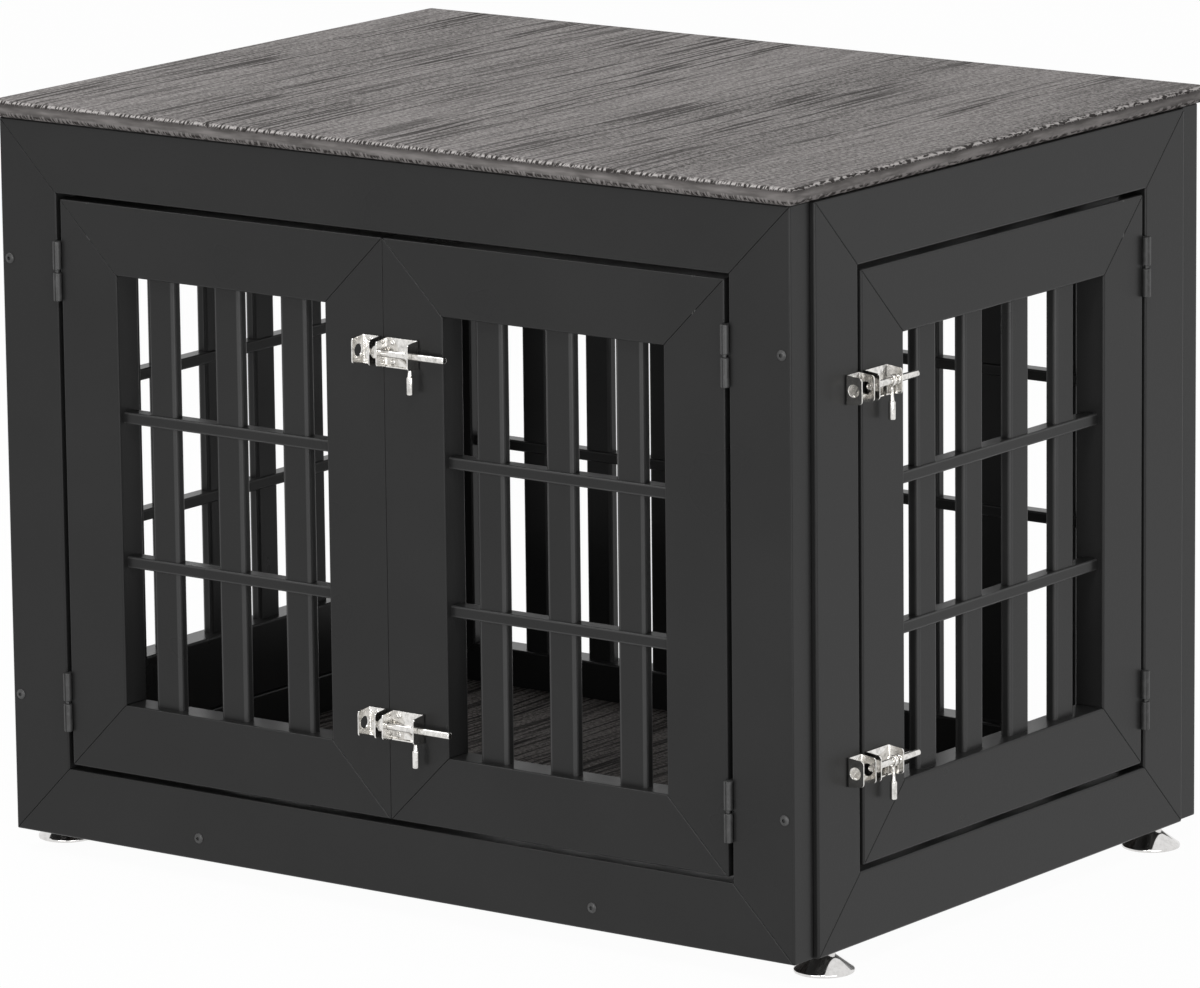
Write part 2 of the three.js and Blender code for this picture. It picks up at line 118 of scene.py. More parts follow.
# Its cross recess: reach and floor are shares of the radius and the dome, and half is an arm's.
RECESS = {"reach": 0.62, "floor": 0.35, "half": 0.34 * MM, "turn": 30}

# Handles, turned: (radius, place) in mm. The collar's places are along the bolt.
COLLAR = [(3.14, -2.2), (4.4, -2.2), (4.6, -2.0), (4.6, 2.0), (4.4, 2.2), (3.14, 2.2), (3.14, -2.2)]
GRIP_END = [(0, -32), (2.2, -32), (2.7, -31.85), (2.93, -31.5), (3, -31)]
GRIP_SHOULDER = [(3, -18.1), (2.94, -17.6), (2.75, -17.25), (2.3, -17.05), (2.1, -16.6)]
GRIP_NECK = [(1.95, -15.5), (1.62, -13), (1.5, -11.5), (1.5, -3.8), (0, -3.8)]

# Finishes. A noise's scale is in cycles per metre along X, Y and Z. Most of it is in its span.
NOISE_SPAN = (0.3, 0.7)
PAINT_PATCHES = (9, 9, 9)
PAINT_SPECKS = (700, 700, 700)
PAINT_PEEL = (420, 420, 420)
PAINT_ROUGHNESS = (0.27, 0.34)
WOOD_ROUGHNESS = (0.6, 0.78)
GRAIN_BEND = (3.4, 1.5, 1)
GRAIN_SWAY = 0.035  # how far a grain line wanders
GRAIN = {  # scale, detail, roughness and the span that is used
    "bands": ((10, 1.2, 1), 3, 0.55, (0.38, 0.62)),
    "clusters": ((24, 1.5, 1), 2, 0.55, (0.40, 0.60)),
    "lines": ((230, 6, 40), 2, 0.5, (0.50, 0.59)),
    "threads": ((310, 10, 60), 2, 0.6, (0.40, 0.60)),
    "speckles": ((270, 330, 500), 2, 0.8, (0.41, 0.60)),
    "ticks": ((430, 150, 25), 1, 0.55, (0.44, 0.56)),
    "clouds": ((30, 30, 160), 3, 0.55, (0.35, 0.65)),
}
SHOWN = {"lines": 0.9, "threads": 0.42, "speckles": 0.55, "rim": 0.95, "shade": 0.65}
NOSE = {  # where the parts of the nosing change, by the upward share of the face's normal
    "face": (0.5, 0.58),
    "rim": (0.80, 0.94),
    "shade": (0.05, 0.5),
    "fringe": (-0.42, -0.3),
    "underside": (-0.97, -0.9),
}
NOSE_RAGGED = 0.1  # how far the ticks break those changes

# The camera stands where the photograph was taken from.
CAMERA = {
    "place": (4.0858207, -5.55221964, 1.75585622),
    "azimuth": 36.36192537,
    "elevation": 11.88443127,
    "roll": -0.63480546,
    "lens": 248.80822584,
    "sensor": 36,
    "far": 60,
}

# Studio
WORLD_GIVEN = 0.55
FLOOR_COLOR = (0.82, 0.82, 0.82)
FLOOR_WHITE = 0.97  # share of plain white in the floor as it is seen
FLOOR_RADIUS = 9
LAMPS = {  # place, aim, size and power
    "key": ((1.3, -2.0, 3.0), (0, 0, 0.35), (0.6, 0.6), 26),
    "overhead": ((-1.5, -0.3, 2.7), (0, 0, 0.4), (1.2, 1.2), 22),
    "fill": ((0.4, -3.0, 0.9), (0, 0.2, 0.3), (1.6, 1.0), 22),
    "softbox": ((2.77, -1.6, 0.42), (0, 0, 0.3), (2.2, 0.8), 22),
}

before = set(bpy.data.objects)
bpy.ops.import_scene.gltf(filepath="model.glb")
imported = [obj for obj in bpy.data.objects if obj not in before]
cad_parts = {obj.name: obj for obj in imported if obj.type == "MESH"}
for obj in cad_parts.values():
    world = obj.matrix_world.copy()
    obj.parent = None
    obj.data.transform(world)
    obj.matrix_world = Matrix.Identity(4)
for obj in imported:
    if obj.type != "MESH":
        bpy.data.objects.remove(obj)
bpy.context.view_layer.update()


# ---------------------------------------------------------------- materials
class Nodes:
    """A material's node tree, with short calls for the nodes that the finishes share."""

    def __init__(self, name, color, roughness, metallic=0.0):
        self.material = bpy.data.materials.new(name)
        self.material.use_nodes = True
        self.material.diffuse_color = (*color, 1)
        self.tree = self.material.node_tree
        self.shader = self.tree.nodes["Principled BSDF"]
        self.shader.inputs["Base Color"].default_value = (*color, 1)
        self.shader.inputs["Roughness"].default_value = roughness
        self.shader.inputs["Metallic"].default_value = metallic

    def node(self, kind, inputs=None, **settings):
        made = self.tree.nodes.new(kind)
        for key, value in settings.items():
            setattr(made, key, value)
        for key, value in (inputs or {}).items():
            if isinstance(value, bpy.types.NodeSocket):
                self.tree.links.new(value, made.inputs[key])
            else:
                made.inputs[key].default_value = value
        return made

    def place(self, scale, offset=(0, 0, 0), point=None):
        """The point, or else the place on the piece in metres, stretched by scale and moved."""
        point = point or self.node("ShaderNodeTexCoord").outputs["Object"]
        inputs = {"Vector": point, "Scale": scale, "Location": offset}
        return self.node("ShaderNodeMapping", inputs).outputs["Vector"]

    def noise(self, scale, detail=3, roughness=0.55, point=None):
        inputs = {
            "Vector": self.place(scale, point=point),
            "Scale": 1,
            "Detail": detail,
            "Roughness": roughness,
        }
        return self.node("ShaderNodeTexNoise", inputs).outputs["Fac"]

    def spread(self, value, low, high, start=0.0, end=1.0):
        inputs = {
            "Value": value,
            "From Min": low,
            "From Max": high,
            "To Min": start,
            "To Max": end,
        }
        return self.node("ShaderNodeMapRange", inputs).outputs["Result"]

    def grain(self, kind, point=None):
        scale, detail, roughness, span = GRAIN[kind]
        return self.spread(self.noise(scale, detail, roughness, point), *span)

    def between(self, factor, first, second):
        """A colour between two, each a colour or a socket."""
        mix = self.node("ShaderNodeMix", data_type="RGBA")
        values = {0: factor, 6: first, 7: second}
        for index, value in values.items():
            if isinstance(value, bpy.types.NodeSocket):
                self.tree.links.new(value, mix.inputs[index])
            else:
                color = (*value, 1) if isinstance(value, tuple) else value
                mix.inputs[index].default_value = color
        return mix.outputs[2]

    def maths(self, operation, first, second):
        inputs = {0: first, 1: second}
        return self.node("ShaderNodeMath", inputs, operation=operation).outputs[0]

    def bump(self, height, distance):
        made = self.node("ShaderNodeBump", {"Height": height, "Distance": distance, "Strength": 1})
        self.set("Normal", made.outputs["Normal"])

    def set(self, name, socket):
        self.tree.links.new(socket, self.shader.inputs[name])


def charcoal_paint(name, color, level):
    """Smooth near-black film over board: its satin sheen gives most of its tone.

    It has slow patches and a fine orange peel.
    """
    made = Nodes(name, (color, color, color), 0.3)
    made.shader.inputs["Specular IOR Level"].default_value = level
    patches = made.noise(PAINT_PATCHES)
    specks = made.noise(PAINT_SPECKS, detail=2)
    slow = made.spread(patches, *NOISE_SPAN, 0, 0.6)
    fine = made.spread(specks, *NOISE_SPAN, 0, 0.4)
    low, high = (color * share for share in (0.88, 1.12))
    shade = made.maths("ADD", slow, fine)
    made.set("Base Color", made.between(shade, (low, low, low), (high, high, high)))
    made.set("Roughness", made.spread(patches, *NOISE_SPAN, *PAINT_ROUGHNESS))
    made.bump(made.noise(PAINT_PEEL, detail=4), 0.05 * MM)
    return made.material


def wood(name, dark, middle, light, line, least, seed):
    """Printed wood grain that runs front to back: bands, clusters of fine lines, and speckles.

    Where the face turns upright at the nosing, the grain ends in short ticks above and below a
    plain band, which is painted darker as its face turns upward: painted shade. least is how
    much of the lines shows away from their clusters.
    """
    made = Nodes(name, middle, 0.7)
    made.shader.inputs["Specular IOR Level"].default_value = 0.05
    start = made.place((1, 1, 1), (seed, seed * 0.37, 0))
    bend = made.noise(GRAIN_BEND, detail=2, point=start)
    wander = {"X": made.maths("MULTIPLY", bend, GRAIN_SWAY)}
    sway = made.node("ShaderNodeCombineXYZ", wander).outputs[0]
    point = made.node("ShaderNodeVectorMath", {0: start, 1: sway}, operation="ADD").outputs[0]
    kinds = ("bands", "clusters", "lines", "threads")
    bands, clusters, lines, threads = (made.grain(kind, point) for kind in kinds)
    speckles = made.grain("speckles")
    broad = made.between(bands, dark, middle)
    threaded = made.between(made.maths("MULTIPLY", threads, SHOWN["threads"]), broad, line)
    flecked = made.between(made.maths("MULTIPLY", speckles, SHOWN["speckles"]), threaded, light)
    drawn = made.maths("MULTIPLY", lines, made.spread(clusters, 0, 1, SHOWN["lines"], least))
    grained = made.between(drawn, flecked, line)

    normal = made.node("ShaderNodeNewGeometry").outputs["Normal"]
    rise = made.node("ShaderNodeSeparateXYZ", {0: normal}).outputs["Z"]
    ticks = made.grain("ticks")
    ragged = made.maths("ADD", rise, made.spread(ticks, 0, 1, -NOSE_RAGGED, NOSE_RAGGED))
    face = made.spread(ragged, *NOSE["face"])
    rim = made.maths("MULTIPLY", face, made.spread(rise, *NOSE["rim"], SHOWN["rim"], 0))
    rimmed = made.between(rim, grained, made.between(ticks, light, line))
    plain = made.between(made.grain("clouds"), dark, middle)
    # Painted shade: the plain band darkens towards the line colour as its face turns upward.
    band = made.between(made.spread(rise, *NOSE["shade"], 0, SHOWN["shade"]), plain, line)
    fringe = made.spread(ragged, *NOSE["fringe"], 1, 0)
    fringed = made.between(fringe, band, made.between(ticks, middle, line))
    edged = made.between(face, fringed, rimmed)
    underside = made.spread(rise, *NOSE["underside"], 1, 0)
    made.set("Base Color", made.between(underside, edged, grained))
    made.set("Roughness", made.spread(threads, 0, 1, *WOOD_ROUGHNESS))
    relief = made.maths("SUBTRACT", made.maths("MULTIPLY", speckles, 0.3), lines)
    made.bump(made.maths("MULTIPLY", relief, face), 0.15 * MM)
    return made.material


def plated(name, bright, dull, roughness, streaks):
    """Bright plated steel, a little dull in places, with drawing lines and handling marks.

    streaks is the scale of the drawing lines along Z.
    """
    made = Nodes(name, bright, roughness, 1.0)
    lines = made.noise((60, 60, streaks))
    marks = made.noise((240, 240, 240), detail=4, roughness=0.6)
    halves = (made.maths("MULTIPLY", value, 0.5) for value in (lines, marks))
    mixed = made.maths("ADD", *halves)
    made.set("Roughness", made.spread(mixed, *NOISE_SPAN, roughness * 0.6, roughness * 1.6))
    made.set("Base Color", made.between(made.spread(marks, 0.44, 0.74), bright, dull))
    made.bump(marks, 0.025 * MM)
    return made.material


def black_metal():
    """Black coated steel, with its coat rubbed a little in places."""
    coat, rubbed = ((shade, shade, shade) for shade in (0.05, 0.08))
    made = Nodes("black_metal", coat, 0.34, 0.5)
    rubs = made.noise((160, 160, 160), detail=4)
    made.set("Base Color", made.between(made.spread(rubs, 0.5, 0.75), coat, rubbed))
    made.set("Roughness", made.spread(rubs, *NOISE_SPAN, 0.34, 0.5))
    made.bump(made.noise((900, 900, 900), detail=2), 0.03 * MM)
    return made.material


CHARCOAL = charcoal_paint("charcoal_paint", 0.0135, 0.225)
CHARCOAL_PAINTED_HIGHLIGHT = charcoal_paint("charcoal_paint_painted_highlight", 0.03, 0.32)  # painted highlight: lighter, glossier paint on the bars' roundings
TOP_WOOD = wood(
    "top_wood",
    dark=(0.092, 0.086, 0.083),
    middle=(0.182, 0.170, 0.166),
    light=(0.435, 0.412, 0.403),
    line=(0.026, 0.023, 0.022),
    least=0.15,
    seed=3.1,
)
FLOOR_WOOD = wood(
    "floor_wood",
    dark=(0.070, 0.064, 0.061),
    middle=(0.135, 0.125, 0.12),
    light=(0.40, 0.37, 0.355),
    line=(0.006, 0.005, 0.005),
    least=0.7,
    seed=8.7,
)
NICKEL = plated("nickel", (0.78, 0.765, 0.74), (0.47, 0.46, 0.44), 0.13, 900)
CHROME = plated("chrome", (0.72, 0.71, 0.70), (0.60, 0.59, 0.58), 0.09, 300)
BLACK_METAL = black_metal()


# ---------------------------------------------------------------- mesh helpers
def add_piece(name, mesh_source, material, body):
    """A piece from a bmesh, riding on a CAD body."""
    mesh = bpy.data.meshes.new(name)
    mesh_source.to_mesh(mesh)
    mesh_source.free()
    mesh.materials.append(material)
    for polygon in mesh.polygons:
        polygon.use_smooth = True
    piece = bpy.data.objects.new(name, mesh)
    bpy.context.scene.collection.objects.link(piece)
    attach(piece, body)
    return piece


def round_edges(piece, width, segments=2, limit="ANGLE"):
    bevel = piece.modifiers.new("edges", "BEVEL")
    bevel.width = width
    bevel.segments = segments
    bevel.limit_method = limit
    bevel.harden_normals = True
    bevel.use_clamp_overlap = True
    return bevel


def bevel_weights(bm):
    return bm.edges.layers.float.new("bevel_weight_edge")


def extrude(bm, outline, start, end, place):
    """A closed outline of (a, b) points run from start to end. place(a, b, c) is each corner."""
    rings = [[bm.verts.new(place(a, b, c)) for a, b in outline] for c in (start, end)]
    count = len(outline)
    faces = [bm.faces.new(rings[0]), bm.faces.new(rings[1][::-1])]
    for i in range(count):
        j = (i + 1) % count
        faces.append(bm.faces.new((rings[0][j], rings[0][i], rings[1][i], rings[1][j])))
    bmesh.ops.recalc_face_normals(bm, faces=faces)
    return rings


def prism(bm, outline, thickness_axis, start, end):
    """An outline of (across, up) points, with depth from start to end along X (0) or Y (1)."""

    def corner(across, up, depth):
        return (depth, across, up) if thickness_axis == 0 else (across, depth, up)

    return extrude(bm, outline, start, end, corner)


def rectangle(left, right, bottom, top):
    return [(left, bottom), (right, bottom), (right, top), (left, top)]


def add_box(bm, low, high):
    prism(bm, rectangle(low[0], high[0], low[2], high[2]), 1, low[1], high[1])


def circle(radius, height, segments):
    """Points round Z, or one point where the radius is nothing."""
    if radius < SAME * MM:
        return [Vector((0, 0, height))]
    steps = (2 * math.pi * i / segments for i in range(segments))
    return [Vector((radius * math.cos(a), radius * math.sin(a), height)) for a in steps]


def join_rings(bm, rings):
    """Faces from each ring of corners to the next, where a ring may be one point."""
    for lower, upper in zip(rings, rings[1:]):
        count = max(len(lower), len(upper))
        for i in range(count):
            j = (i + 1) % count
            corners = [ring[k % len(ring)] for ring, k in ((lower, i), (lower, j))]
            corners += [ring[k % len(ring)] for ring, k in ((upper, j), (upper, i))]
            bm.faces.new(list(dict.fromkeys(corners)))


def turned(bm, profile, segments, turn):
    """A profile of (radius, height) points turned about Z, then placed by the matrix."""
    rings = [[bm.verts.new(turn @ p) for p in circle(r, h, segments)] for r, h in profile]
    join_rings(bm, rings)
    bmesh.ops.recalc_face_normals(bm, faces=bm.faces)


def in_metres(profile):
    return [(radius * MM, height * MM) for radius, height in profile]


# ---------------------------------------------------------------- mitred frames
def member_outline(low, high, across, role, width):
    """The mitred outline of one member of a frame whose box is low to high."""
    outer = rectangle(low[across], high[across], low[2], high[2])
    inner = rectangle(low[across] + width, high[across] - width, low[2] + width, high[2] - width)
    corners = {
        "bottom": (outer[0], outer[1], inner[1], inner[0]),
        "top": (inner[3], inner[2], outer[2], outer[3]),
        "low": (outer[0], inner[0], inner[3], outer[3]),
        "high": (outer[1], outer[2], inner[2], inner[1]),
    }
    return corners[role]


def member(name, outline, across, depths, body, lead=None):
    """One board of a frame. Its long edges are rounded, and its mitres are just eased.

    lead is the place of a meeting edge and its way towards the other door: its front comes forward.
    """
    bm = bmesh.new()
    rings = prism(bm, outline, 1 - across, *depths)
    weight = bevel_weights(bm)
    for edge in bm.edges:
        run = edge.verts[1].co - edge.verts[0].co
        straight = abs(run[across]) < SAME or abs(run.z) < SAME
        through = abs(run[1 - across]) > SAME
        meets = lead and all(abs(vert.co[across] - lead[0]) < SAME for vert in edge.verts)
        rounding = SEAM_EDGE if meets else EDGE
        edge[weight] = rounding / EDGE if straight and not through else MITRE_EDGE / EDGE
    if lead:
        for vert in rings[0]:
            if abs(vert.co[across] - lead[0]) < SAME:
                vert.co[across] += lead[1] * SEAM_LEAD
    board = add_piece(name, bm, CHARCOAL, body)
    round_edges(board, EDGE, BOARD_SEGMENTS, "WEIGHT")
    return board


def split_frame(name, low_stile, high_stile, across, body, lead_role=None):
    """Replaces a frame's four member nodes. lead_role is the member that meets the other door."""
    parts = {"low": low_stile, "high": high_stile, "bottom": "bottom_rail", "top": "top_rail"}
    nodes = {role: f"{name}_{part}" for role, part in parts.items()}
    boxes = [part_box(node) for node in nodes.values()]
    low = [min(box[0][i] for box in boxes) for i in range(3)]
    high = [max(box[1][i] for box in boxes) for i in range(3)]
    depths = (low[1 - across], high[1 - across])
    leads = {"low": (low[across], -1), "high": (high[across], 1)}
    for role, node in nodes.items():
        outline = member_outline(low, high, across, role, MEMBER)
        board = member(node + "_board", outline, across, depths, body, leads.get(lead_role))
        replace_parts(board, node)


def whole_frame(node, across, width):
    """The four boards of a frame that is one CAD node."""
    low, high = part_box(node)
    depths = (low[1 - across], high[1 - across])
    for role in ("low", "high", "bottom", "top"):
        outline = member_outline(low, high, across, role, width)
        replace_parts(member(f"{node}_{role}_board", outline, across, depths, "cabinet"), node)


def grille(name, node, across, inset, count, pitch, body):
    """Upright slats, and two rails that pass them. The bars' ends are housed.

    The bars fill the node's box, less inset at its sides, and lie at its middle depth.
    """
    low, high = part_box(node)
    span = (low[across] + inset, high[across] - inset)
    rise = (low[2] + inset, high[2] - inset)
    centre = (span[0] + span[1]) / 2
    depth = (low[1 - across] + high[1 - across]) / 2
    parts = {"slats": (SLAT, 2, bmesh.new()), "rails": (RAIL, across, bmesh.new())}

    def add_bar(kind, *sides):
        size, _, bm = parts[kind]
        half = size["depth"] / 2
        prism(bm, rectangle(*sides), 1 - across, depth - half, depth + half)

    for i in range(count):
        place = centre + (i - (count - 1) / 2) * pitch
        half = SLAT["width"] / 2
        add_bar("slats", place - half, place + half, rise[0] - HOUSED, rise[1] + HOUSED)
    for height in RAIL_HEIGHTS:
        half = RAIL["height"] / 2
        add_bar("rails", span[0] - HOUSED, span[1] + HOUSED, height - half, height + half)
    for kind, (size, along, bm) in parts.items():
        weight = bevel_weights(bm)
        for edge in bm.edges:
            run = edge.verts[1].co - edge.verts[0].co
            edge.smooth = abs(run[along]) > SAME
            edge[weight] = float(edge.smooth)
        piece = add_piece(f"{name}_{kind}", bm, CHARCOAL, body)
        # The bars' roundings take the second slot, the lighter paint: a painted highlight along
        # their edges.
        piece.data.materials.append(CHARCOAL_PAINTED_HIGHLIGHT)
        round_edges(piece, size["edge"], BOARD_SEGMENTS, "WEIGHT").material = 1
        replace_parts(piece, node)


def panels():
    split_frame("front_frame", "left_stile", "right_stile", 0, "cabinet")
    split_frame("right_frame", "front_stile", "back_stile", 1, "cabinet")
    split_frame("left_door", "hinge_stile", "free_stile", 0, "left_door", "high")
    split_frame("right_door", "free_stile", "hinge_stile", 0, "right_door", "low")
    split_frame("side_door", "free_stile", "hinge_stile", 1, "side_door")
    grille("left_door_grille", "left_door_grille", 0, 0, 3, FRONT_PITCH, "left_door")
    grille("right_door_grille", "right_door_grille", 0, 0, 3, FRONT_PITCH, "right_door")
    grille("side_door_grille", "side_door_grille", 1, 0, 4, SIDE_PITCH, "side_door")
    whole_frame("left_frame", 1, MEMBER)
    whole_frame("left_fixed_panel", 1, LEFT_PANEL_MEMBER)
    grille("left_panel", "left_fixed_panel", 1, LEFT_PANEL_MEMBER, 4, SIDE_PITCH, "cabinet")
    whole_frame("back_panel", 0, MEMBER)
    grille("back_panel", "back_panel", 0, MEMBER, 9, FRONT_PITCH, "cabinet")


# ---------------------------------------------------------------- boards
def board(name, node, material, slot, edge):
    low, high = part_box(node)
    bm = bmesh.new()
    add_box(bm, low, high)
    piece = add_piece(name, bm, material, "cabinet")
    round_edges(piece, edge["width"], edge["segments"])
    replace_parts(piece, node)


# ---------------------------------------------------------------- fittings
ALONG_X = Matrix.Rotation(math.pi / 2, 4, "Y")
OUT_OF_FRONT = Matrix.Rotation(math.pi / 2, 4, "X")


def foot(node):
    """A spun cone foot, with a stem into the panel's edge."""
    low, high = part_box(node)
    place = Matrix.Translation(((low.x + high.x) / 2, (low.y + high.y) / 2, 0))
    bm = bmesh.new()
    turned(bm, in_metres(FOOT_SOLE + FOOT_COLLAR + FOOT_STEM), STEPS["foot"], place)
    piece = add_piece(f"{node}_cone", bm, CHROME, node)
    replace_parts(piece, node)


def hexagon(radius, height, segments):
    """A hexagon with its corners at the radius, in as many steps as the circles round it."""
    points = []
    for i in range(segments):
        angle = 2 * math.pi * i / segments
        within = (angle % (math.pi / 3)) - math.pi / 6
        reach = radius * math.cos(math.pi / 6) / math.cos(within)
        points.append(Vector((reach * math.cos(angle), reach * math.sin(angle), height)))
    return points


def socket_bolt(name, x, z, face):
    """A low round bolt head with a hex socket, on the front panel's face."""
    radius, rim, proud = (FRAME_BOLT[key] for key in ("radius", "rim", "proud"))
    steps = STEPS["frame_bolt"]
    outlines = [circle(radius, -FRAME_BOLT["sunk"], steps)]
    for angle in map(math.radians, FRAME_BOLT_DOME):
        height = rim + (proud - rim) * math.sin(angle)
        outlines.append(circle(radius * math.cos(angle), height, steps))
    for height in (proud * SOCKET_MOUTH, rim):
        outlines.append(hexagon(FRAME_BOLT["socket"], height, steps))
    turn = Matrix.Translation((x, face, z)) @ OUT_OF_FRONT
    bm = bmesh.new()
    rings = [[bm.verts.new(turn @ point) for point in outline] for outline in outlines]
    join_rings(bm, rings)
    bm.faces.new(rings[-1])
    bmesh.ops.recalc_face_normals(bm, faces=bm.faces)
    piece = add_piece(name, bm, BLACK_METAL, "cabinet")
    round_edges(piece, FRAME_BOLT["edge"])


def frame_bolts():
    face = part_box("front_frame_left_stile")[0].y
    for i, (across, height) in enumerate(FRAME_BOLT_PLACES):
        for side, way in (("left", -1), ("right", 1)):
            x = CABINET_MIDDLE + way * across * MM
            socket_bolt(f"frame_bolt_{side}_{i}", x, height * MM, face)


def rolled_knuckle(ends, seam_turn):
    """A round knuckle with the seam of its rolled sheet, turned from the panel's face."""
    half = SEAM_WIDTH / 2
    floor = half - SEAM_WALL
    places = [(-half, 0), (-floor, SEAM_DEPTH), (floor, SEAM_DEPTH), (half, 0)]
    steps = STEPS["hinge_knuckle"]
    places += [(half + (360 - SEAM_WIDTH) * i / steps, 0) for i in range(1, steps)]
    outline = []
    for turn, depth in places:
        angle, radius = math.radians(seam_turn + turn - 90), HINGE_BARREL - depth
        outline.append((radius * math.cos(angle), radius * math.sin(angle)))
    low, high = ends
    bm = bmesh.new()
    rings = []
    for inset, height in (
        (HINGE_EASE, low),
        (0, low + HINGE_EASE),
        (0, high - HINGE_EASE),
        (HINGE_EASE, high),
    ):
        share = 1 - inset / HINGE_BARREL
        rings.append([bm.verts.new((a * share, b * share, height)) for a, b in outline])
    join_rings(bm, rings)
    bm.faces.new(rings[0])
    bm.faces.new(rings[-1][::-1])
    bmesh.ops.recalc_face_normals(bm, faces=bm.faces)
    return bm


def hinge_leaf(node):
    """One leaf of a hinge: a plate in the gap, a knuckle, and the pin on the frame's leaf."""
    low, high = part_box(node)
    on_side = node.startswith("side")
    if on_side:
        axis = Vector((high.x - HINGE_BARREL, (low.y + high.y) / 2, 0))
        depth = high.x - low.x
    else:
        axis = Vector(((low.x + high.x) / 2, low.y + HINGE_BARREL, 0))
        depth = high.y - low.y
    turn = Matrix.Translation(axis) @ Matrix.Rotation(math.pi / 2 if on_side else 0, 4, "Z")
    holds_pin = node.endswith("frame_leaf")
    frame_side = -1 if node.startswith("left") else 1
    side = frame_side if holds_pin else -frame_side
    middle = (low.z + high.z) / 2
    gap = (middle - HINGE_GAP / 2, middle + HINGE_GAP / 2)
    ends = (low.z, gap[0]) if holds_pin else (gap[1], high.z)
    bm = rolled_knuckle(ends, SEAM_TURN["side" if on_side else "front"])
    if holds_pin:
        pin = [(0, gap[0]), (HINGE_PIN, gap[0]), (HINGE_PIN, gap[1]), (0, gap[1])]
        turned(bm, pin, STEPS["hinge_pin"], Matrix.Identity(4))
    near, far = sorted((side * LEAF_GAP, side * (LEAF_GAP + LEAF)))
    neck_end, plate_start = HINGE_BARREL + 2 * LEAF_LAP, HINGE_BARREL + LEAF_LAP
    add_box(bm, (near, HINGE_PIN, ends[0] + HINGE_EASE), (far, neck_end, ends[1] - HINGE_EASE))
    add_box(bm, (near, plate_start, low.z), (far, depth - HINGE_BARREL, high.z))
    bm.transform(turn)
    body = "cabinet" if holds_pin else node[: node.index("_door") + len("_door")]
    piece = add_piece(f"{node}_knuckle", bm, BLACK_METAL, body)
    round_edges(piece, HINGE_EDGE)
    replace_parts(piece, node)


# ---------------------------------------------------------------- latches
def rod(radius, start, end):
    """A plain round tool along X."""
    bm = bmesh.new()
    profile = [(0, start), (radius, start), (radius, end), (0, end)]
    turned(bm, profile, STEPS["drill"], ALONG_X)
    return bm


def carved(solid, cuts):
    """The solid after each (operation, tool) of cuts, as one bmesh. All are in the same place."""
    scratch = []
    for bm in [solid] + [tool for _, tool in cuts]:
        mesh = bpy.data.meshes.new("scratch")
        bm.to_mesh(mesh)
        bm.free()
        scratch.append(bpy.data.objects.new("scratch", mesh))
        bpy.context.scene.collection.objects.link(scratch[-1])
    for (operation, _), tool in zip(cuts, scratch[1:]):
        boolean = scratch[0].modifiers.new(operation, "BOOLEAN")
        boolean.operation = operation
        boolean.object = tool
        boolean.solver = "EXACT"
    whole = scratch[0].evaluated_get(bpy.context.evaluated_depsgraph_get())
    result = bmesh.new()
    result.from_mesh(whole.to_mesh())
    for piece in scratch:
        bpy.data.objects.remove(piece)
    flat = math.radians(1)
    bmesh.ops.dissolve_limit(result, angle_limit=flat, verts=result.verts, edges=result.edges)
    return result


def arc(centre, radius, start, end, steps):
    angles = [math.radians(start + (end - start) * i / steps) for i in range(steps + 1)]
    return [(centre[0] + radius * math.cos(a), centre[1] + radius * math.sin(a)) for a in angles]


def folded_bracket(span, hole):
    """A plate on the panel with a wall folded out at each end. -Y is out of the panel."""
    start, end = span
    back, reach, half = -FIT, -BRACKET["reach"], BRACKET["height"] / 2
    inner = BEND - SHEET
    section = [(start, reach)]
    section += arc((start + BEND, back - BEND), BEND, 180, 90, 5)
    section += arc((end - BEND, back - BEND), BEND, 90, 0, 5)
    section += [(end, reach), (end - SHEET, reach)]
    section += arc((end - BEND, back - BEND), inner, 0, 90, 3)
    section += arc((start + BEND, back - BEND), inner, 90, 180, 3)
    section += [(start + SHEET, reach)]
    sheet = bmesh.new()
    extrude(sheet, section, -half, half, lambda a, b, c: (a, b, c))
    corner, tip = BRACKET["corner"], BRACKET["tip"] / 2
    side = [(0, -half)]
    side += arc((reach + corner, corner - tip), corner, 270, 180, 6)
    side += arc((reach + corner, tip - corner), corner, 180, 90, 6)
    side += [(0, half)]
    trim = bmesh.new()
    extrude(trim, side, start - SHEET, end + SHEET, lambda a, b, c: (c, a, b))
    drill = rod(hole, start - SHEET, end + SHEET)
    drill.transform(Matrix.Translation((0, -BOLT_AXIS, 0)))
    return carved(sheet, [("INTERSECT", trim), ("DIFFERENCE", drill)])


def add_screw(bm, x, z):
    """A pan-head screw with a cross recess, on a bracket's plate."""
    radius, dome, sunk = (SCREW[key] for key in ("radius", "dome", "sunk"))
    rise = map(math.radians, range(0, 90, 15))
    curve = [(radius * math.cos(a), dome * math.sin(a)) for a in rise]
    head = bmesh.new()
    profile = [(0, -sunk), (radius, -sunk)] + curve + [(0, dome)]
    turned(head, profile, STEPS["screw"], Matrix.Identity(4))
    reach, half = RECESS["reach"] * radius, RECESS["half"]
    arms = []
    for turn in (0, 90):
        arm = bmesh.new()
        add_box(arm, (-reach, -half, RECESS["floor"] * dome), (reach, half, 2 * dome))
        arm.transform(Matrix.Rotation(math.radians(turn + RECESS["turn"]), 4, "Z"))
        arms.append(("DIFFERENCE", arm))
    head = carved(head, arms)
    head.transform(Matrix.Translation((x, -FIT - SHEET, z)) @ OUT_OF_FRONT)
    scratch = bpy.data.meshes.new("scratch")
    head.to_mesh(scratch)
    head.free()
    bm.from_mesh(scratch)
    bpy.data.meshes.remove(scratch)


